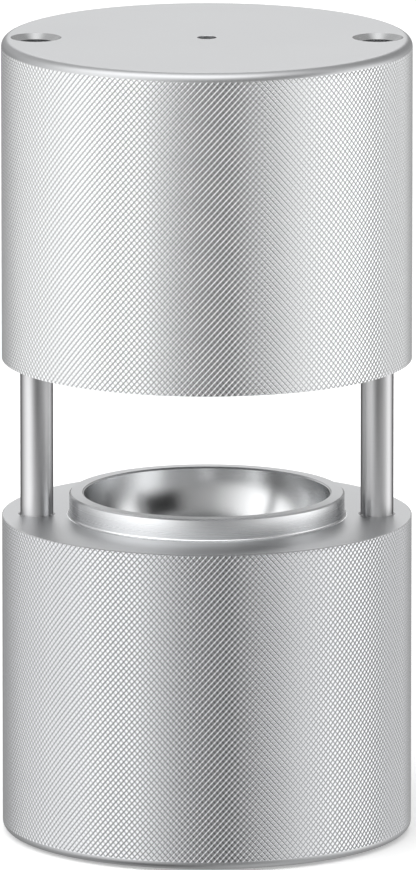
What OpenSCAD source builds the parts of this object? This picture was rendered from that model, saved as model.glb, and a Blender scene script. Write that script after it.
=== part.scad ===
// Ball press: two knurled aluminium blocks that close over a ball mould, guided by two steel rods.
// The origin is the centre of the underside, +Z is up and the rods stand on the X axis.
// The upper block is drawn raised on its rods, as it stands when the mould is open.

/* [Mould] */
// Diameter of the ball that the two cavities form
ball_d = 60; // [50:1:70]
// Width of the flat rim around the lower cavity
rim_w = 3.6; // [2.5:0.1:6]
// Height of the raised boss above the base's shoulder
boss_h = 5.5; // [4:0.5:10]
// Radius of the turned fillet at the foot of the boss
boss_fillet = 0.6; // [0.4:0.1:0.9]
// Gap around the boss in the recess of the upper block
boss_gap = 0.3; // [0.2:0.05:0.6]
// Gap above the boss when the upper block sits on the base
parting_gap = 0.1; // [0.05:0.05:0.4]
// Bevel at the mouth of each cavity
mouth_bevel = 0.4; // [0.2:0.1:0.8]
// Diameter of the vent hole in the upper block
vent_d = 4.6; // [3:0.2:8]
// Bevel at the top of the vent hole
vent_bevel = 0.3; // [0.2:0.1:0.8]

/* [Blocks] */
// Height of the base, from its underside to its shoulder
base_h = 78; // [66:1:100]
// Height of the upper block
top_h = 79; // [66:1:100]
// Height that the upper block stands raised above the base's shoulder
lift = 39; // [15:1:50]
// Wall between the boss's recess and each guide bore
inner_web = 1.6; // [1.2:0.1:6]
// Wall between each guide bore and the outside of the blocks
outer_web = 2.5; // [2:0.1:8]
// Radius of the round outer edges, under the base and on top of the upper block
edge_round = 2; // [1:0.5:3]
// Chamfer of the edges that face each other
edge_chamfer = 0.4; // [0.2:0.1:0.8]

/* [Guide rods] */
// Diameter of each rod
rod_d = 8; // [7:0.5:10]
// Length of rod that stands above the base's shoulder
rod_reach = 75; // [62:1:78]
// Depth of the press-fit socket that holds the rod in the base
rod_socket = 30; // [20:1:40]
// Bevel at the free tip of each rod
rod_tip_bevel = 1; // [0.5:0.1:1.5]
// Bevel at the foot of each rod
rod_foot_bevel = 0.5; // [0.2:0.1:0.8]
// Bevel around the mouth of each rod socket
socket_bevel = 0.5; // [0.3:0.1:0.8]

/* [Guide bores] */
// Running gap around the rod in its bushes
bush_gap = 0.05; // [0.02:0.01:0.1]
// Wall thickness of each bush
bush_wall = 1.95; // [1:0.05:3]
// Length of each bush
bush_l = 12; // [8:1:16]
// Distance between the two bushes of one bore
bush_space = 10; // [4:1:14]
// Gap around the rod in the plain bore above its bushes
bore_gap = 0.2; // [0.1:0.05:0.5]
// Width of the countersink around each bore on the top face
sink_w = 2; // [1:0.1:2.2]
// Depth of that countersink
sink_depth = 1.2; // [0.6:0.1:2.5]

/* [Rod screws] */
// Thread diameter of the screws that pull the rods into the base
screw_d = 5; // [4:0.5:5.5]
// Length of thread that each screw has inside its rod
screw_grip = 9; // [7:1:16]
// Room left above the screw's tip in the tapped hole
tap_room = 3; // [1:0.5:6]
// Diameter of the screw head
screw_head_d = 8.5; // [8:0.1:9.2]
// Height of the screw head
screw_head_h = 5; // [4:0.5:6]
// Width across the flats of the hexagon socket
hex_w = 4; // [3:0.5:5]
// Depth of the hexagon socket
hex_depth = 2.5; // [2:0.25:3.5]
// Outside diameter of the spring washer
washer_d = 9.2; // [8.6:0.1:10.4]
// Thickness of the spring washer
washer_t = 1.2; // [0.8:0.1:1.6]
// Width of the split in the spring washer
washer_split = 0.8; // [0.5:0.1:1.2]
// Gap around the screw in its hole and around the washer in its counterbore
screw_gap = 0.4; // [0.3:0.05:0.5]
// Distance that the screw head sits inside the underside
head_sunk = 2; // [1:0.5:8]

/* [Foot pad] */
// Wall between the pad's recess and each screw counterbore
pad_web = 1.3; // [0.8:0.1:8]
// Thickness of the pad
pad_t = 2; // [1.5:0.1:3]
// Distance that the pad stands out below the base
pad_proud = 0.5; // [0.3:0.1:1]
// Gap around the pad in its recess
pad_gap = 0.2; // [0.1:0.05:0.4]

/* [Hidden] */

$fn = 96;
// Overshoot that takes a cut cleanly through a face
eps = 0.01;

aluminium = [0.83, 0.83, 0.84];
steel = [0.62, 0.62, 0.63];
screw_steel = [0.48, 0.48, 0.49];
acetal = [0.90, 0.89, 0.86];
rubber = [0.13, 0.13, 0.14];

left = -1;
right = 1;

ball_r = ball_d / 2;
boss_r = ball_r + rim_w;
recess_r = boss_r + boss_gap;
recess_h = boss_h + parting_gap;

rod_r = rod_d / 2;
bush_r = rod_r + bush_gap;
bush_seat_r = bush_r + bush_wall;
bush_seat_h = 2 * bush_l + bush_space;
bore_r = rod_r + bore_gap;

rod_x = recess_r + inner_web + bush_seat_r;
block_r = rod_x + bush_seat_r + outer_web;

base_z = pad_proud;
shoulder_z = base_z + base_h;
boss_z = shoulder_z + boss_h;
top_z = shoulder_z + lift;
crown_z = top_z + top_h;

rod_foot_z = shoulder_z - rod_socket;
rod_tip_z = shoulder_z + rod_reach;

screw_r = screw_d / 2;
counterbore_r = washer_d / 2 + screw_gap;
head_z = base_z + head_sunk;
washer_z = head_z + screw_head_h;
seat_z = washer_z + washer_t;
screw_tip_z = rod_foot_z + screw_grip;

pad_recess_r = rod_x - counterbore_r - pad_web;
pad_recess_h = pad_t - pad_proud;
pad_r = pad_recess_r - pad_gap;

// Points of an arc about a centre, from one angle to another
function arc(centre, radius, from, to, steps) = [
    for (i = [0 : steps])
        let (a = from + (to - from) * i / steps)
            centre + radius * [cos(a), sin(a)]
];

// Outline of a turned block: its outer end, with the round edge, lies at 0,
// and the given points close it at its mating end
function turned_outline(mating_end) = concat(
    [[0, 0]],
    arc([block_r - edge_round, edge_round], edge_round, -90, 0, 12),
    mating_end
);

// The base closes with its shoulder and its boss
function base_end() = concat(
    [[block_r, base_h - edge_chamfer], [block_r - edge_chamfer, base_h]],
    arc([boss_r + boss_fillet, base_h + boss_fillet], boss_fillet, 270, 180, 6),
    [
        [boss_r, base_h + boss_h - edge_chamfer],
        [boss_r - edge_chamfer, base_h + boss_h],
        [0, base_h + boss_h],
    ]
);

// The upper block closes with one flat end
function top_end() = [
    [block_r, top_h - edge_chamfer],
    [block_r - edge_chamfer, top_h],
    [0, top_h],
];

// Straight round bar or hole from one height to another
module bar(radius, from, to) {
    translate([0, 0, from])
        cylinder(r = radius, h = to - from);
}

// Conical cut that breaks the edge of a round hole whose mouth faces up in the plane z = 0
module bevel(radius, width) {
    translate([0, 0, -width])
        cylinder(r1 = radius, r2 = radius + width + eps, h = width + eps);
}

// Half of the ball, bevelled at its mouth, which faces up in the plane z = 0
module cavity() {
    sphere(r = ball_r, $fn = 128);
    bevel(ball_r, mouth_bevel);
}

// Turns a cut whose mouth faces up into one that faces down at the given height
module facing_down(height) {
    translate([0, 0, height])
        mirror([0, 0, 1])
            children();
}

// Places a piece or a cut on the axis of the left or the right rod
module on_rod(side) {
    translate([side * rod_x, 0, 0])
        children();
}

// What is cut into the base on one rod's axis: the rod's socket, the screw's hole and its counterbore
module base_rod_cut() {
    bar(rod_r, rod_foot_z, shoulder_z + eps);
    translate([0, 0, shoulder_z])
        bevel(rod_r, socket_bevel);
    bar(screw_r + screw_gap, seat_z - eps, rod_foot_z + eps);
    bar(counterbore_r, base_z - eps, seat_z);
}

module base_block() {
    color(aluminium)
        difference() {
            translate([0, 0, base_z])
                rotate_extrude()
                    polygon(turned_outline(base_end()));
            translate([0, 0, boss_z])
                cavity();
            for (side = [left, right])
                on_rod(side)
                    base_rod_cut();
            bar(pad_recess_r, base_z - eps, base_z + pad_recess_h);
        }
}

module foot_pad() {
    color(rubber)
        rotate_extrude()
            polygon(concat(
                [[0, 0]],
                arc([pad_r - pad_proud, pad_proud], pad_proud, -90, 0, 6),
                [[pad_r, pad_t], [0, pad_t]]
            ));
}

module guide_rod(side) {
    color(steel)
        on_rod(side)
            difference() {
                rotate_extrude()
                    polygon([
                        [0, rod_foot_z],
                        [rod_r - rod_foot_bevel, rod_foot_z],
                        [rod_r, rod_foot_z + rod_foot_bevel],
                        [rod_r, rod_tip_z - rod_tip_bevel],
                        [rod_r - rod_tip_bevel, rod_tip_z],
                        [0, rod_tip_z],
                    ]);
                bar(screw_r, rod_foot_z - eps, screw_tip_z + tap_room);
            }
}

module rod_screw(side) {
    color(screw_steel)
        on_rod(side)
            difference() {
                union() {
                    bar(screw_head_d / 2, head_z, washer_z);
                    bar(screw_r, washer_z - eps, screw_tip_z);
                }
                translate([0, 0, head_z - eps])
                    cylinder(d = hex_w / cos(30), h = hex_depth + eps, $fn = 6);
            }
}

module rod_washer(side) {
    color(screw_steel)
        on_rod(side)
            difference() {
                bar(washer_d / 2, washer_z, seat_z);
                bar(screw_r + screw_gap / 2, washer_z - eps, seat_z + eps);
                translate([0, -washer_split / 2, washer_z - eps])
                    cube([washer_d, washer_split, washer_t + 2 * eps]);
            }
}

// What is cut into the upper block on one rod's axis: the bushes' seat, the plain bore and its countersink
module top_rod_cut() {
    bar(bush_seat_r, top_z - eps, top_z + bush_seat_h);
    bar(bore_r, top_z, crown_z + eps);
    translate([0, 0, crown_z - sink_depth])
        cylinder(r1 = bore_r, r2 = bore_r + sink_w, h = sink_depth + eps);
}

module top_block() {
    color(aluminium)
        difference() {
            facing_down(crown_z)
                rotate_extrude()
                    polygon(turned_outline(top_end()));
            bar(recess_r, top_z - eps, top_z + recess_h);
            // This bevel is as wide as the fillet at the boss's foot, so the fillet stays clear of it
            facing_down(top_z)
                bevel(recess_r, boss_fillet);
            facing_down(top_z + recess_h)
                cavity();
            bar(vent_d / 2, top_z + recess_h, crown_z + eps);
            translate([0, 0, crown_z])
                bevel(vent_d / 2, vent_bevel);
            for (side = [left, right])
                on_rod(side)
                    top_rod_cut();
        }
}

// Bush on one rod's axis, at the given height above the upper block's underside
module guide_bush(side, height) {
    color(acetal)
        on_rod(side)
            difference() {
                bar(bush_seat_r, top_z + height, top_z + height + bush_l);
                bar(bush_r, top_z + height - eps, top_z + height + bush_l + eps);
            }
}

module lower_bush(side) {
    guide_bush(side, 0);
}

module upper_bush(side) {
    guide_bush(side, bush_l + bush_space);
}

base_block();
foot_pad();
guide_rod(left);  // guide_rod_left
guide_rod(right);  // guide_rod_right
rod_screw(left);  // rod_screw_left
rod_screw(right);  // rod_screw_right
rod_washer(left);  // rod_washer_left
rod_washer(right);  // rod_washer_right
top_block();
lower_bush(left);  // lower_bush_left
lower_bush(right);  // lower_bush_right
upper_bush(left);  // upper_bush_left
upper_bush(right);  // upper_bush_right
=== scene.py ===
import math

import bpy
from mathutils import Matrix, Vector


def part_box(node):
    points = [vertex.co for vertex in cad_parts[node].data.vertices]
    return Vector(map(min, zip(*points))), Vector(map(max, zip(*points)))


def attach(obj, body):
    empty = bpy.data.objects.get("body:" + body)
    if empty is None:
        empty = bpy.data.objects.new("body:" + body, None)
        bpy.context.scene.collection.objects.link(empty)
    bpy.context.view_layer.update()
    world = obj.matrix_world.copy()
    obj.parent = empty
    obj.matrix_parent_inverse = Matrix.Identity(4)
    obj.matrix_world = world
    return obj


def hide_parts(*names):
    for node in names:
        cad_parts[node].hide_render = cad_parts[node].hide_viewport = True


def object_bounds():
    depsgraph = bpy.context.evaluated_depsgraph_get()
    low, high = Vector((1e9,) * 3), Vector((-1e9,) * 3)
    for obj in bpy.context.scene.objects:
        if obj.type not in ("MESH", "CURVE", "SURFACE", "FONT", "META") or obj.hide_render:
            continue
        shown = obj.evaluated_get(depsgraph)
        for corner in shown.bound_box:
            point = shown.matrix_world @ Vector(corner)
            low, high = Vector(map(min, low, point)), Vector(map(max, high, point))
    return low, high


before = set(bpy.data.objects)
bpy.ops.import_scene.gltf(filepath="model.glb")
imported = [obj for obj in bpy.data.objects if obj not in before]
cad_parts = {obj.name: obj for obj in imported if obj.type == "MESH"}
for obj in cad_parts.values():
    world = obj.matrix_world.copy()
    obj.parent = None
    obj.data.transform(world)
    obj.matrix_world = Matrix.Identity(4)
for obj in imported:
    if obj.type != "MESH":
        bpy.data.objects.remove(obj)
cad_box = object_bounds()

# Base block
# The lower half of the press, turned from a bar of aluminium, knurled round its side and clear anodised.
# Its boss holds the lower half of the mould, and holes drilled from both ends take rods and screws.
MM = 0.001
KNURL_STARTS = 220  # grooves round a block, each way
KNURL_PITCH = 1.54 * MM  # from groove to groove along the block
KNURL_RIGHT_WIDTH = 0.40 * MM  # across a groove that climbs to the right
KNURL_LEFT_WIDTH = 0.37 * MM  # across one that climbs to the left, from a wheel with narrower teeth
KNURL_DEPTH = 0.108 * MM
KNURL_LEAN = 0.03 * MM  # how far to one side a groove that climbs to the right has its bottom
KNURL_END = 0.1 * MM  # the broken edge that the knurl runs out over
GROOVE_SHADE_PART = 0.4  # of the knurl's depth, painted darker: painted shade and the crushed metal
EDGE_ROUND = 2.0 * MM
EDGE_CHAMFER = 0.4 * MM
MOULD_RADIUS = 30.0 * MM
BOSS_HEIGHT = 5.5 * MM
BOSS_RADIUS = 33.6 * MM
BOSS_FILLET = 0.6 * MM
PAD_RECESS_RADIUS = 35.2 * MM
PAD_RECESS_TOP = 2.0 * MM
ROD_SOCKET_RADIUS = 4.02 * MM
ROD_SOCKET_BEVEL = 0.5 * MM
SCREW_HEAD_HOLE_RADIUS = 5.0 * MM
SCREW_HEAD_HOLE_TOP = 8.7 * MM
SCREW_HOLE_RADIUS = 2.9 * MM
HOLE_SEGMENTS = 48
EDGE_STEPS = 8  # faces across a block's round edge
FILLET_STEPS = 5
MOULD_STEPS = 20  # faces from the mould's mouth to its bottom or vent
SHARP_EDGE = 20  # degrees; where two faces meet at more than this, the edge shows crisp
CUT_SPARE = 1.0 * MM  # how far a cutter stands out of what it cuts
BLASTED, KNURLED, POLISHED = 1, 2, 3  # the numbers of a block's finishes, after the turned one

base_low, base_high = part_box("base_block")
block_radius = (base_high.x - base_low.x) / 2
boss_top = base_high.z
shoulder = boss_top - BOSS_HEIGHT
rod_low, rod_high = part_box("guide_rod_right")
rod_x = (rod_low.x + rod_high.x) / 2


def hex_colour(text):
    """Linear RGBA of an sRGB colour such as 8FA0B1."""
    srgb = [int(text[i:i + 2], 16) / 255 for i in (0, 2, 4)]
    return [c / 12.92 if c <= 0.04045 else ((c + 0.055) / 1.055) ** 2.4 for c in srgb] + [1.0]


def add_node(owner, kind, settings=None, links=None):
    """Adds a shader node to a material or world, with its settings and links by socket or property name."""
    node = owner.node_tree.nodes.new("ShaderNode" + kind)
    for name, value in (settings or {}).items():
        if isinstance(name, str) and hasattr(node, name):
            setattr(node, name, value)
        else:
            node.inputs[name].default_value = value
    for name, source in (links or {}).items():
        owner.node_tree.links.new(source, node.inputs[name])
    return node


def arc(centre, radius, start, end, steps):
    """Points of an outline's arc round a centre, between two angles in degrees."""
    angles = [math.radians(start + (end - start) * i / steps) for i in range(steps + 1)]
    return [(centre[0] + radius * math.cos(a), centre[1] + radius * math.sin(a)) for a in angles]


def add_ring(vertices, count, radius, height, turn=0.0):
    """Adds a level ring of vertices, or one on the axis, and returns their numbers; turn is in steps."""
    first = len(vertices)
    if radius == 0:
        vertices.append((0.0, 0.0, height))
        return [first] * count
    for i in range(count):
        angle = math.tau * (i + turn) / count
        vertices.append((radius * math.cos(angle), radius * math.sin(angle), height))
    return list(range(first, first + count))


def add_knurl(vertices, faces, below, above, radius, low, high):
    """Joins two rings by a diamond knurl: V grooves that cross, and flat diamonds left between them.

    The grooves cross on rings half a pitch apart. The first and last diamonds are cut in half."""
    count = len(below)
    rows = 2 * round((high - low) / KNURL_PITCH)
    step = (high - low) / rows
    around = math.tau * radius / count
    groove_to_centre = around / 2 * step / math.hypot(around / 2, step)
    # Half a flat's diagonal, and how far the unlike grooves shift its corners, both in pitches.
    top = 0.5 * (1 - (KNURL_RIGHT_WIDTH + KNURL_LEFT_WIDTH) / 4 / groove_to_centre)
    shift = 0.25 * (KNURL_LEFT_WIDTH - KNURL_RIGHT_WIDTH) / 2 / groove_to_centre
    lean = KNURL_LEAN / math.hypot(around / 2, step)
    crossings = []
    for row in range(rows + 1):
        part = lean if 0 < row < rows else 0
        crossings.append(add_ring(
            vertices, count, radius - KNURL_DEPTH, low + row * step - part * around / 2,
            row % 2 / 2 + part * step / around))
    for row in range(rows + 1):
        odd = row % 2
        height = low + row * step
        rise = 2 * shift * step if 0 < row < rows else 0
        left = add_ring(vertices, count, radius, height + rise, 0.5 + odd / 2 - top)
        right = add_ring(vertices, count, radius, height - rise, 0.5 + odd / 2 + top)
        lower = upper = None
        if row > 0:
            lower = add_ring(vertices, count, radius, height - 2 * top * step, 0.5 + odd / 2 + shift)
        if row < rows:
            upper = add_ring(vertices, count, radius, height + 2 * top * step, 0.5 + odd / 2 - shift)
        for i in range(count):
            after = (i + 1) % count
            tip = after if odd else i
            groove_left = crossings[row][i]
            groove_right = crossings[row][after]
            flat = [left[i], right[i]]
            if lower:
                flat.insert(1, lower[i])
                groove_low = crossings[row - 1][tip]
                faces.append((groove_left, groove_low, lower[i], left[i]))
                faces.append((groove_low, groove_right, right[i], lower[i]))
            else:
                faces.append((below[i], left[i], groove_left))
                faces.append((below[i], right[i], left[i]))
                faces.append((below[i], below[after], right[i]))
                faces.append((below[after], groove_right, right[i]))
            if upper:
                flat.append(upper[i])
                groove_high = crossings[row + 1][tip]
                faces.append((groove_right, groove_high, upper[i], right[i]))
                faces.append((groove_high, groove_left, left[i], upper[i]))
            else:
                faces.append((groove_left, left[i], above[i]))
                faces.append((left[i], right[i], above[i]))
                faces.append((right[i], above[after], above[i]))
                faces.append((right[i], groove_right, above[after]))
            faces.append(tuple(flat))


def turned(name, outline, count, finishes=(), bands=None, knurl_at=None, at=(0, 0), shape=None):
    """An object turned from an outline of (radius, height) points, up its outside and back inside.

    bands gives the number of a finish by the number of the point where a band starts, and other bands take
    the first one. knurl_at is the point where a knurled band starts, which runs to the point after it.
    shape gives the radius from the outline's radius, the height and the part of a turn."""
    vertices = []
    faces = []
    finish_numbers = []
    rings = [add_ring(vertices, count, radius, height) for radius, height in outline]
    for i, (ring, following) in enumerate(zip(rings, rings[1:] + rings[:1])):
        if outline[i][0] == outline[(i + 1) % len(outline)][0] == 0:
            continue
        if i == knurl_at:
            add_knurl(vertices, faces, ring, following, outline[i][0], outline[i][1], outline[i + 1][1])
        else:
            for j in range(count):
                k = (j + 1) % count
                faces.append(tuple(dict.fromkeys((ring[j], ring[k], following[k], following[j]))))
        finish_numbers += [(bands or {}).get(i, 0)] * (len(faces) - len(finish_numbers))
    if shape:
        for i, (x, y, z) in enumerate(vertices):
            radius = math.hypot(x, y)
            if radius > 0:
                share = shape(radius, z, math.atan2(y, x) / math.tau % 1) / radius
                vertices[i] = (x * share, y * share, z)
    mesh = bpy.data.meshes.new(name)
    mesh.from_pydata([(x + at[0], y + at[1], z) for x, y, z in vertices], [], faces)
    for finish in finishes:
        mesh.materials.append(finish)
    mesh.polygons.foreach_set("material_index", finish_numbers)
    piece = bpy.data.objects.new(name, mesh)
    bpy.context.scene.collection.objects.link(piece)
    return piece


def drill(piece, cutters):
    """Cuts the cutters' shapes out of a piece and removes them."""
    for cutter in cutters:
        cut = piece.modifiers.new("cut", "BOOLEAN")
        cut.object = cutter
        cut.solver = "MANIFOLD"
        cut.material_mode = "TRANSFER"
    apply_modifiers(piece)
    for cutter in cutters:
        bpy.data.objects.remove(cutter)


def apply_modifiers(piece):
    """Puts the result of a piece's modifiers into its mesh."""
    evaluated = piece.evaluated_get(bpy.context.evaluated_depsgraph_get())
    mesh = bpy.data.meshes.new_from_object(evaluated)
    piece.modifiers.clear()
    piece.data = mesh


def finish_surface(piece):
    """Smooth shading that breaks at sharp edges and keeps flats flat."""
    piece.data.shade_smooth()
    piece.data.set_sharp_from_angle(angle=math.radians(SHARP_EDGE))
    weigh = piece.modifiers.new("even flats", "WEIGHTED_NORMAL")
    weigh.keep_sharp = True
    apply_modifiers(piece)


def clear_anodised_aluminium(name, light_grey, dark_grey, roughness, ring_height=0.0, groove_shade_grey=None):
    """Clear anodised aluminium: a silver grey satin, dull and even where blasted, with the tool's rings
    where turned, and darker at the bottom of the knurl's grooves: partly the crushed metal, partly painted
    shade."""
    material = bpy.data.materials.new(name)
    material.use_nodes = True
    material.node_tree.nodes.clear()
    place = add_node(material, "TexCoord").outputs["Object"]
    level = add_node(material, "VectorMath", {"operation": "MULTIPLY", 1: (1, 1, 0)}, {0: place})
    radius = add_node(material, "VectorMath", {"operation": "LENGTH"}, {0: level.outputs["Vector"]})
    if ring_height:
        # The tool's feed is about 0.1 mm, drawn as rings of about 0.35 mm so that they show.
        height = add_node(material, "SeparateXYZ", links={"Vector": place})
        along = add_node(
            material, "Math", {"operation": "ADD"}, {0: radius.outputs["Value"], 1: height.outputs["Z"]})
        pattern = add_node(
            material, "TexNoise", {"noise_dimensions": "1D", "Scale": 1 / (0.35 * MM), "Detail": 1.0},
            {"W": along.outputs["Value"]})
    else:
        # The etch leaves pits of about 0.05 mm, drawn at 0.4 mm so that they show.
        pattern = add_node(
            material, "TexNoise", {"Scale": 1 / (0.4 * MM), "Detail": 2.0}, {"Vector": place})
    # The bath's grey drifts over some 35 mm.
    cloud = add_node(material, "TexNoise", {"Scale": 1 / (35 * MM), "Detail": 2.0}, {"Vector": place})
    half_cloud = add_node(material, "Math", {"operation": "MULTIPLY", 1: 0.5}, {0: cloud.outputs["Fac"]})
    tone = add_node(
        material, "Math", {"operation": "MULTIPLY_ADD", 1: 0.5},
        {0: pattern.outputs["Fac"], 2: half_cloud.outputs["Value"]})
    grey = add_node(
        material, "MixRGB", {"Color1": hex_colour(dark_grey), "Color2": hex_colour(light_grey)},
        {"Fac": tone.outputs["Value"]})
    # The groove bottoms are painted darker: painted shade in the hollows, and the crushed metal's tone.
    if groove_shade_grey:
        out_of_groove_shade = add_node(
            material, "MapRange",
            {"From Min": block_radius - KNURL_DEPTH,
             "From Max": block_radius - (1 - GROOVE_SHADE_PART) * KNURL_DEPTH},
            {"Value": radius.outputs["Value"]})
        grey = add_node(
            material, "MixRGB", {"Color1": hex_colour(groove_shade_grey)},
            {"Fac": out_of_groove_shade.outputs["Result"], "Color2": grey.outputs["Color"]})
    rough = add_node(
        material, "MapRange", {"To Min": roughness - 0.01, "To Max": roughness + 0.01},
        {"Value": pattern.outputs["Fac"]})
    bump = add_node(
        material, "Bump", {"Strength": 0.15, "Distance": ring_height or 0.004 * MM},
        {"Height": pattern.outputs["Fac"]})
    skin = add_node(
        material, "BsdfPrincipled", {"Metallic": 1.0},
        {"Base Color": grey.outputs["Color"], "Roughness": rough.outputs["Result"],
         "Normal": bump.outputs["Normal"]})
    add_node(material, "OutputMaterial", links={"Surface": skin.outputs["BSDF"]})
    return material


base_outline = [(0, PAD_RECESS_TOP), (PAD_RECESS_RADIUS, PAD_RECESS_TOP), (PAD_RECESS_RADIUS, base_low.z)]
foot_band = len(base_outline) - 1
base_outline += arc((block_radius - EDGE_ROUND, base_low.z + EDGE_ROUND), EDGE_ROUND, -90, 0, EDGE_STEPS)
base_knurl = len(base_outline) - 1
base_outline += [(block_radius, shoulder - KNURL_END), (block_radius - KNURL_DEPTH - KNURL_END, shoulder)]
shoulder_band = len(base_outline) - 1
base_outline += arc((BOSS_RADIUS + BOSS_FILLET, shoulder + BOSS_FILLET), BOSS_FILLET, 270, 180, FILLET_STEPS)
base_outline += [(BOSS_RADIUS, boss_top - EDGE_CHAMFER), (BOSS_RADIUS - EDGE_CHAMFER, boss_top)]
boss_band = len(base_outline) - 1
base_outline += [(MOULD_RADIUS + EDGE_CHAMFER, boss_top)]
mould_band = len(base_outline)
mouth_angle = math.degrees(math.asin(EDGE_CHAMFER / MOULD_RADIUS))
base_outline += arc((0, boss_top), MOULD_RADIUS, -mouth_angle, -90, MOULD_STEPS)[:-1]
base_outline += [(0, boss_top - MOULD_RADIUS)]
turned_aluminium = clear_anodised_aluminium(
    "clear anodised turned aluminium", "E8E9EA", "E5E6E8", 0.27, ring_height=0.0005 * MM)
blasted_aluminium = clear_anodised_aluminium("clear anodised blasted aluminium", "C8C9CA", "BCBDBF", 0.42)
# The base's knurl is painted a deeper grey than the upper block's: a painted shade on the same aluminium.
shaded_knurled_aluminium = clear_anodised_aluminium(
    "knurled aluminium with painted shade", "D6D7D9", "CACBCD", 0.18, groove_shade_grey="ACADAF")
polished_aluminium = clear_anodised_aluminium("clear anodised polished aluminium", "E6E7E8", "DADBDC", 0.20)
base_finishes = (turned_aluminium, blasted_aluminium, shaded_knurled_aluminium, polished_aluminium)
base_bands = {i: BLASTED for i in range(foot_band, base_knurl)}
base_bands.update({i: POLISHED for i in range(mould_band, len(base_outline))})
base_bands.update({base_knurl: KNURLED, shoulder_band: BLASTED, boss_band: BLASTED})
base_block = turned("base_block_knurled", base_outline, KNURL_STARTS, base_finishes, base_bands, base_knurl)

cutters = []
for side in (-1, 1):
    at = (side * rod_x, 0)
    socket = [
        (0, rod_low.z), (ROD_SOCKET_RADIUS, rod_low.z), (ROD_SOCKET_RADIUS, shoulder - ROD_SOCKET_BEVEL),
        (ROD_SOCKET_RADIUS + ROD_SOCKET_BEVEL, shoulder),
        (ROD_SOCKET_RADIUS + ROD_SOCKET_BEVEL, shoulder + CUT_SPARE), (0, shoulder + CUT_SPARE)]
    screw_hole = [
        (0, -CUT_SPARE), (SCREW_HEAD_HOLE_RADIUS, -CUT_SPARE), (SCREW_HEAD_HOLE_RADIUS, SCREW_HEAD_HOLE_TOP),
        (SCREW_HOLE_RADIUS, SCREW_HEAD_HOLE_TOP), (SCREW_HOLE_RADIUS, rod_low.z + CUT_SPARE),
        (0, rod_low.z + CUT_SPARE)]
    cutters.append(turned("rod socket", socket, HOLE_SEGMENTS, [polished_aluminium], at=at))
    cutters.append(turned("screw hole", screw_hole, HOLE_SEGMENTS, [polished_aluminium], at=at))
drill(base_block, cutters)
finish_surface(base_block)
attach(base_block, "base")
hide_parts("base_block")

# Foot pad
# A disc of black silicone, moulded with rounded edges and stuck into the base's underside, so that it
# doesn't slide and the table isn't scratched.
def moulded_silicone():
    """Moulded silicone rubber: nearly black and matt, with the mould's fine grain and a little dust."""
    material = bpy.data.materials.new("moulded black silicone rubber")
    material.use_nodes = True
    material.node_tree.nodes.clear()
    place = add_node(material, "TexCoord").outputs["Object"]
    # The mould's spark-eroded grain is about 0.15 mm, drawn at 0.3 mm so that it shows.
    grain = add_node(material, "TexNoise", {"Scale": 1 / (0.3 * MM), "Detail": 3.0}, {"Vector": place})
    # Dust lies in patches of some 9 mm.
    bloom = add_node(material, "TexNoise", {"Scale": 1 / (9 * MM), "Detail": 3.0}, {"Vector": place})
    black = add_node(
        material, "MixRGB", {"Color1": hex_colour("202022"), "Color2": hex_colour("2E2E30")},
        {"Fac": bloom.outputs["Fac"]})
    rough = add_node(
        material, "MapRange", {"To Min": 0.55, "To Max": 0.75}, {"Value": grain.outputs["Fac"]})
    bump = add_node(
        material, "Bump", {"Strength": 0.4, "Distance": 0.03 * MM}, {"Height": grain.outputs["Fac"]})
    skin = add_node(
        material, "BsdfPrincipled", {"Specular IOR Level": 0.35},
        {"Base Color": black.outputs["Color"], "Roughness": rough.outputs["Result"],
         "Normal": bump.outputs["Normal"]})
    add_node(material, "OutputMaterial", links={"Surface": skin.outputs["BSDF"]})
    return material


def put_material(node_name, material):
    """Gives a piece of the assembly its material."""
    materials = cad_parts[node_name].data.materials
    materials.clear()
    materials.append(material)


put_material("foot_pad", moulded_silicone())

# Guide rods
# Two bars of stainless steel that stand in the base and guide the upper block, tapped at the foot for a
# screw. They are ground between wheels, so they are bright, with fine lines round them.
def stainless_steel(name, light_grey, dark_grey, roughness, line_size, anisotropic, edge_grey):
    """Stainless steel: a bright neutral grey, with the lines of its making, sized in x, y and z.

    anisotropic blurs what it mirrors across those lines, and edge_grey tints it at glancing angles."""
    material = bpy.data.materials.new(name)
    material.use_nodes = True
    material.node_tree.nodes.clear()
    place = add_node(material, "TexCoord").outputs["Object"]
    stretched = add_node(material, "VectorMath", {"operation": "DIVIDE", 1: line_size}, {0: place})
    lines = add_node(
        material, "TexNoise", {"Scale": 1.0, "Detail": 2.0}, {"Vector": stretched.outputs["Vector"]})
    rough = add_node(
        material, "MapRange", {"To Min": roughness - 0.02, "To Max": roughness + 0.02},
        {"Value": lines.outputs["Fac"]})
    grey = add_node(
        material, "MixRGB", {"Color1": hex_colour(dark_grey), "Color2": hex_colour(light_grey)},
        {"Fac": lines.outputs["Fac"]})
    bump = add_node(
        material, "Bump", {"Strength": 0.1, "Distance": 0.002 * MM}, {"Height": lines.outputs["Fac"]})
    upright = add_node(material, "CombineXYZ", {"Z": 1.0})
    skin = add_node(
        material, "BsdfPrincipled",
        {"Metallic": 1.0, "Anisotropic": anisotropic, "Specular Tint": hex_colour(edge_grey)},
        {"Base Color": grey.outputs["Color"], "Roughness": rough.outputs["Result"],
         "Normal": bump.outputs["Normal"], "Tangent": upright.outputs["Vector"]})
    add_node(material, "OutputMaterial", links={"Surface": skin.outputs["BSDF"]})
    return material


# The grit leaves lines some 0.02 mm apart, drawn at 0.3 mm so that they show. They run round the rod, so
# they blur what it mirrors up and down only.
GRIT_LINES = (6 * MM, 6 * MM, 0.3 * MM)
# Its dark edge grey dims what it mirrors at glancing angles: a painted shade along the rods' sides.
ground_steel = stainless_steel(
    "centreless ground stainless steel", "D2D2D3", "CECECF", 0.36, GRIT_LINES, 0.92, "404040")
for side in ("left", "right"):
    put_material("guide_rod_" + side, ground_steel)

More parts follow.
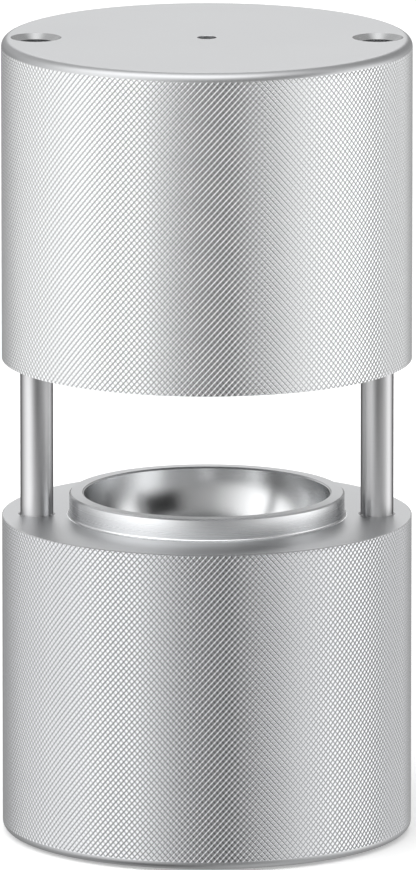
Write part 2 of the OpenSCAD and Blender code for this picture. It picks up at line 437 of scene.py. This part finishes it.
# Rod screws
# Two socket-head screws of stainless steel that pull the rods down into the base from below. Their heads
# are cold formed with a straight knurl and a hexagon socket, and their threads are rolled.
HEAD_HEIGHT = 5.0 * MM
HEAD_BEVEL = 0.4 * MM
HEAD_FACE_RINGS = (1.0, 1.9, 2.4)  # in bevels above the head's face: its corner and the start of the teeth
HEAD_BACK_RINGS = (0.9, 0.4, 0.0)  # in bevels below the head's back, where the teeth end
HEAD_TEETH = 36
TEETH_START = 2.0 * HEAD_BEVEL
TOOTH_DEPTH = 0.12 * MM
SHANK_RADIUS = 2.5 * MM
HEX_RADIUS = 4.0 * MM / 2 / math.cos(math.pi / 6)  # a hexagon of 4 mm across its flats
HEX_DEPTH = 2.5 * MM
THREAD_PITCH = 0.8 * MM
THREAD_DEPTH = 0.46 * MM
THREAD_LENGTH = 22.0 * MM
THREAD_STEPS = 10  # rings to a pitch
THREAD_CREST = 0.15  # of half a pitch, the flat part at the crest
THREAD_FLANK = 0.6  # of half a pitch, the slope

screw_low, screw_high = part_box("rod_screw_right")
head_radius = (screw_high.x - screw_low.x) / 2
head_top = screw_low.z + HEAD_HEIGHT
thread_start = screw_high.z - THREAD_LENGTH


def screw_shape(radius, height, turn):
    """The radius of a screw, with teeth round its head and a thread that turns about its shank."""
    if screw_low.z + TEETH_START < height < head_top:
        return radius - TOOTH_DEPTH * (round(2 * HEAD_TEETH * turn) % 2)
    if thread_start < height < screw_high.z:
        from_crest = abs(((height / THREAD_PITCH - turn) % 1) - 0.5) * 2
        flank = min(max((from_crest - THREAD_CREST) / THREAD_FLANK, 0), 1)
        return radius - THREAD_DEPTH * flank * min((height - thread_start) / THREAD_PITCH, 1)
    return radius


# The dies leave the skin mottled in patches of some 0.8 mm.
headed_steel = stainless_steel(
    "cold formed stainless steel", "B4B4B5", "9C9C9E", 0.3, (0.8 * MM, 0.8 * MM, 0.8 * MM), 0.0, "FFFFFF")
screw_outline = [(0, screw_low.z), (head_radius - HEAD_BEVEL, screw_low.z)]
screw_outline += [(head_radius, screw_low.z + part * HEAD_BEVEL) for part in HEAD_FACE_RINGS]
screw_outline += [(head_radius, head_top - part * HEAD_BEVEL) for part in HEAD_BACK_RINGS]
screw_outline += [(SHANK_RADIUS, head_top), (SHANK_RADIUS, thread_start)]
thread_rings = round((THREAD_LENGTH - 2 * HEAD_BEVEL) / THREAD_PITCH * THREAD_STEPS)
screw_outline += [
    (SHANK_RADIUS, thread_start + i * THREAD_PITCH / THREAD_STEPS) for i in range(1, thread_rings + 1)]
screw_outline += [(SHANK_RADIUS - THREAD_DEPTH - HEAD_BEVEL, screw_high.z), (0, screw_high.z)]
for side, sign in (("left", -1), ("right", 1)):
    at = (sign * rod_x, 0)
    screw = turned(
        "rod_screw_threaded_" + side, screw_outline, 2 * HEAD_TEETH, [headed_steel], at=at,
        shape=screw_shape)
    hexagon = [
        (0, screw_low.z - CUT_SPARE), (HEX_RADIUS, screw_low.z - CUT_SPARE),
        (HEX_RADIUS, screw_low.z + HEX_DEPTH), (0, screw_low.z + HEX_DEPTH)]
    drill(screw, [turned("hexagon", hexagon, 6, [headed_steel], at=at)])
    finish_surface(screw)
    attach(screw, "base")
    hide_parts("rod_screw_" + side)

# Spring washers
# A split ring of spring steel under each screw's head, coiled from drawn wire, which the head squeezes flat
# so that the screw can't work loose.
WIRE_LINES = (1.5 * MM, 1.5 * MM, 0.2 * MM)  # 0.05 mm apart on real wire, drawn coarser so that they show
drawn_steel = stainless_steel(
    "coiled stainless spring wire", "A6A6A7", "868688", 0.34, WIRE_LINES, 0.0, "FFFFFF")
for side in ("left", "right"):
    put_material("rod_washer_" + side, drawn_steel)

# Upper block
# The upper half, of the same bar and finish, which slides on the rods: its underside is sunk to take the
# boss round the upper half of the mould, and its top has two countersunk guide bores and a vent.
RECESS_RADIUS = 33.9 * MM
RECESS_DEPTH = 5.6 * MM
VENT_RADIUS = 2.3 * MM
VENT_BEVEL = 0.04 * MM
BORE_RADIUS = 4.2 * MM
COUNTERSINK_RADIUS = 6.2 * MM
COUNTERSINK_DEPTH = 1.2 * MM

top_low, top_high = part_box("top_block")
bush_low, bush_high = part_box("upper_bush_right")
bush_radius = (bush_high.x - bush_low.x) / 2
mould_top = top_low.z + RECESS_DEPTH

vent_angle = math.degrees(math.acos(VENT_RADIUS / MOULD_RADIUS))
top_outline = arc((0, mould_top), MOULD_RADIUS, vent_angle, mouth_angle, MOULD_STEPS)
top_outline += [(MOULD_RADIUS + EDGE_CHAMFER, mould_top), (RECESS_RADIUS, mould_top)]
top_outline += [(RECESS_RADIUS, top_low.z + BOSS_FILLET), (RECESS_RADIUS + BOSS_FILLET, top_low.z)]
underside_band = len(top_outline) - 1
top_outline += [(block_radius - KNURL_DEPTH - KNURL_END, top_low.z), (block_radius, top_low.z + KNURL_END)]
top_knurl = len(top_outline) - 1
top_outline += arc((block_radius - EDGE_ROUND, top_high.z - EDGE_ROUND), EDGE_ROUND, 0, 90, EDGE_STEPS)
vent_band = len(top_outline)
top_outline += [(VENT_RADIUS + VENT_BEVEL, top_high.z), (VENT_RADIUS, top_high.z - VENT_BEVEL)]
# Its grooves' bottoms are painted a darker grey, partly as painted shade.
knurled_aluminium = clear_anodised_aluminium(
    "clear anodised knurled aluminium", "E8E9EA", "DCDDDE", 0.18, groove_shade_grey="BCBDBF")
top_finishes = (turned_aluminium, blasted_aluminium, knurled_aluminium, polished_aluminium)
top_bands = {i: BLASTED for i in range(top_knurl + 1, vent_band)}
top_bands.update({i: POLISHED for i in range(MOULD_STEPS)})
top_bands.update({underside_band: BLASTED, top_knurl: KNURLED})
top_block = turned("top_block_knurled", top_outline, KNURL_STARTS, top_finishes, top_bands, top_knurl)

cutters = []
for side in (-1, 1):
    at = (side * rod_x, 0)
    bore = [
        (0, top_low.z - CUT_SPARE), (bush_radius, top_low.z - CUT_SPARE), (bush_radius, bush_high.z),
        (BORE_RADIUS, bush_high.z), (BORE_RADIUS, top_high.z - COUNTERSINK_DEPTH),
        (COUNTERSINK_RADIUS, top_high.z), (COUNTERSINK_RADIUS, top_high.z + CUT_SPARE),
        (0, top_high.z + CUT_SPARE)]
    cutters.append(turned("guide bore", bore, HOLE_SEGMENTS, [polished_aluminium], at=at))
drill(top_block, cutters)
finish_surface(top_block)
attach(top_block, "press_head")
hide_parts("top_block")

# Bushes
# Four plain bushes of natural acetal, turned from rod and pressed into the bores, two to a bore, so that
# the upper block slides on the rods without touching them.
def turned_acetal():
    """Turned natural acetal: a milky white that lets a little light in, softly shiny, with faint rings."""
    material = bpy.data.materials.new("turned natural acetal")
    material.use_nodes = True
    material.node_tree.nodes.clear()
    place = add_node(material, "TexCoord").outputs["Object"]
    # The tool's feed is about 0.1 mm, drawn as rings of about 0.3 mm so that they show.
    height = add_node(material, "SeparateXYZ", links={"Vector": place})
    rings = add_node(
        material, "TexNoise", {"noise_dimensions": "1D", "Scale": 1 / (0.3 * MM), "Detail": 1.0},
        {"W": height.outputs["Z"]})
    # The milkiness varies over some 4 mm.
    cloud = add_node(material, "TexNoise", {"Scale": 1 / (4 * MM), "Detail": 2.0}, {"Vector": place})
    milk = add_node(
        material, "MixRGB", {"Color1": hex_colour("DFDBD0"), "Color2": hex_colour("ECE9E1")},
        {"Fac": cloud.outputs["Fac"]})
    rough = add_node(
        material, "MapRange", {"To Min": 0.36, "To Max": 0.5}, {"Value": rings.outputs["Fac"]})
    bump = add_node(
        material, "Bump", {"Strength": 0.2, "Distance": 0.02 * MM}, {"Height": rings.outputs["Fac"]})
    skin = add_node(
        material, "BsdfPrincipled",
        {"Subsurface Weight": 0.3, "Subsurface Radius": (1, 0.9, 0.8), "Subsurface Scale": 1.0 * MM},
        {"Base Color": milk.outputs["Color"], "Roughness": rough.outputs["Result"],
         "Normal": bump.outputs["Normal"]})
    add_node(material, "OutputMaterial", links={"Surface": skin.outputs["BSDF"]})
    return material


acetal = turned_acetal()
for bore_end in ("lower", "upper"):
    for side in ("left", "right"):
        put_material("%s_bush_%s" % (bore_end, side), acetal)

# Studio
# A pale paper floor in a soft room with a pale card tall on the left, another on the right and a dim front,
# a light over the front, a card low behind and a soft roof. The floor keeps the shadow but stays out of
# reflections, so that the metal mirrors the cards and the dim front.
FLOOR_HALF = 10.0  # metres
# The walls' brightness at bearings in degrees, from the front of the press round to the picture's right.
# Each higher band of wall starts to show at its first angle above the horizon and is full at its second.
LOWEST_WALL = ((-180, 0.50), (-96, 0.50), (-80, 0.02), (-10, 0.02), (14, 0.80), (90, 0.80), (180, 0.50))
HIGHER_WALLS = (
    (-52, -46, (  # well below the horizon, dim
        (-180, 0.40), (-120, 0.50), (-100, 0.80), (-75, 0.66), (-42, 0.68), (-20, 0.40), (8, 0.21),
        (95, 0.58), (180, 0.40))),
    (-38, -20, (  # about level, where upright faces mirror the two cards and the dim front
        (-180, 0.25), (-140, 0.36), (-90, 1.20), (-62, 1.72), (-42, 1.60), (-22, 0.81), (-5, 0.38),
        (10, 0.29), (32, 0.56), (75, 1.60), (95, 1.80), (110, 1.55), (130, 0.66), (180, 0.25))),
    (3, 13, (  # just above, with a dark card at the front right
        (-180, 0.26), (-150, 0.62), (-108, 0.65), (-94, 1.35), (-78, 1.60), (-56, 1.80), (-25, 0.95),
        (-5, 0.50), (20, 0.35), (34, 0.02), (64, 0.02), (82, 1.30), (97, 1.35), (112, 0.48), (180, 0.26))),
    (27, 32, (  # high up, where the left card's top is brightest
        (-180, 0.48), (-108, 0.52), (-90, 2.00), (-75, 2.20), (-40, 2.10), (-20, 1.35), (8, 1.05),
        (90, 0.65), (110, 0.42), (150, 0.36), (180, 0.48))),
)
# The lights' directions, brightness, and how far from the middle they start and are full, in degrees.
LIGHTS = (
    ((0, -0.39, 0.92), 2.2, 32, 20),  # over the front
    ((0, 0.891, 0.454), 1.75, 18, 10),  # the card low behind
    ((0, 0.139, 0.990), 1.25, 26, 0),  # the roof
)

floor = bpy.data.objects.new("floor", bpy.data.meshes.new("floor"))
corners = [(x * FLOOR_HALF, y * FLOOR_HALF, 0) for x, y in ((-1, -1), (1, -1), (1, 1), (-1, 1))]
floor.data.from_pydata(corners, [], [(0, 1, 2, 3)])
bpy.context.scene.collection.objects.link(floor)
floor.visible_glossy = False
# Matt white paper, which glows a little where it is looked at, so that it is white with a soft shadow.
paper = bpy.data.materials.new("matt white paper")
paper.use_nodes = True
paper.node_tree.nodes.clear()
floor.data.materials.append(paper)
sheet = add_node(paper, "BsdfDiffuse", {"Color": hex_colour("F2F2F2")})
seen = add_node(paper, "LightPath")
reflected = add_node(
    paper, "Math", {"operation": "ADD"},
    {0: seen.outputs["Is Glossy Ray"], 1: seen.outputs["Is Transmission Ray"]})
looked_at = add_node(
    paper, "Math", {"operation": "ADD"},
    {0: seen.outputs["Is Camera Ray"], 1: reflected.outputs["Value"]})
glow = add_node(
    paper, "Emission", {"Color": hex_colour("898989")}, {"Strength": looked_at.outputs["Value"]})
both = add_node(paper, "AddShader", links={0: sheet.outputs["BSDF"], 1: glow.outputs["Emission"]})
add_node(paper, "OutputMaterial", links={"Surface": both.outputs["Shader"]})

studio = bpy.data.worlds.new("studio")
bpy.context.scene.world = studio
studio.use_nodes = True
studio.node_tree.nodes.clear()
gaze = add_node(studio, "TexCoord").outputs["Generated"]
across = add_node(studio, "SeparateXYZ", links={"Vector": gaze})
ahead = add_node(studio, "Math", {"operation": "MULTIPLY", 1: -1.0}, {0: across.outputs["Y"]})
bearing = add_node(
    studio, "Math", {"operation": "ARCTAN2"}, {0: across.outputs["X"], 1: ahead.outputs["Value"]})
turn = add_node(
    studio, "MapRange", {"From Min": -math.pi, "From Max": math.pi}, {"Value": bearing.outputs["Value"]})
rise = add_node(studio, "Math", {"operation": "ARCSINE"}, {0: across.outputs["Z"]})


def wall_band(stops):
    """A band of the walls, with its brightness by bearing."""
    band = add_node(studio, "ValToRGB", links={"Fac": turn.outputs["Result"]})
    while len(band.color_ramp.elements) < len(stops):
        band.color_ramp.elements.new(1.0)
    for element, (degrees, grey) in zip(band.color_ramp.elements, stops):
        element.position = (degrees + 180) / 360
        element.color = (grey, grey, grey, 1)
    return band.outputs["Color"]


def lay_over(angle, start, end, settings, links):
    """Lays one part of the studio softly over another as an angle goes from start to end, in degrees."""
    share = add_node(
        studio, "MapRange",
        {"interpolation_type": "SMOOTHSTEP", "From Min": math.radians(start), "From Max": math.radians(end)},
        {"Value": angle.outputs["Value"]})
    links = dict(links, Fac=share.outputs["Result"])
    return add_node(studio, "MixRGB", settings, links).outputs["Color"]


room = wall_band(LOWEST_WALL)
for start, end, stops in HIGHER_WALLS:
    room = lay_over(rise, start, end, {}, {"Color1": room, "Color2": wall_band(stops)})
for direction, grey, start, end in LIGHTS:
    towards = add_node(
        studio, "VectorMath", {"operation": "DOT_PRODUCT", 1: Vector(direction).normalized()}, {0: gaze})
    apart = add_node(studio, "Math", {"operation": "ARCCOSINE"}, {0: towards.outputs["Value"]})
    room = lay_over(apart, start, end, {"Color2": (grey, grey, grey, 1)}, {"Color1": room})
shine = add_node(studio, "Background", links={"Color": room})
add_node(studio, "OutputWorld", links={"Surface": shine.outputs["Background"]})

# Camera
# A long lens looks a little down on the press from the front, as in the photograph,
# whose upright frame of 416 by 870 pixels the press fills from edge to edge.
FRAME_LONG_SIDE = 870  # pixels
LENS = 700  # mm, on a sensor whose long side is 36 mm
CAMERA_DISTANCE = 4.125  # metres
CAMERA_RISE = math.radians(11.44)
PRESS_LEFT_OF_CENTRE = 1.1  # pixels
PRESS_ABOVE_CENTRE = 0.8  # pixels

press_middle = (cad_box[0] + cad_box[1]) / 2
towards_camera = Vector((0, -math.cos(CAMERA_RISE), math.sin(CAMERA_RISE)))
camera = bpy.data.objects.new("camera", bpy.data.cameras.new("camera"))
bpy.context.scene.collection.objects.link(camera)
camera.location = press_middle + CAMERA_DISTANCE * towards_camera
camera.rotation_euler = towards_camera.to_track_quat("Z", "Y").to_euler()
camera.data.lens = LENS
camera.data.shift_x = PRESS_LEFT_OF_CENTRE / FRAME_LONG_SIDE
camera.data.shift_y = -PRESS_ABOVE_CENTRE / FRAME_LONG_SIDE
camera.data.clip_end = 100
bpy.context.scene.camera = camera
bpy.context.scene.view_settings.view_transform = "Standard"
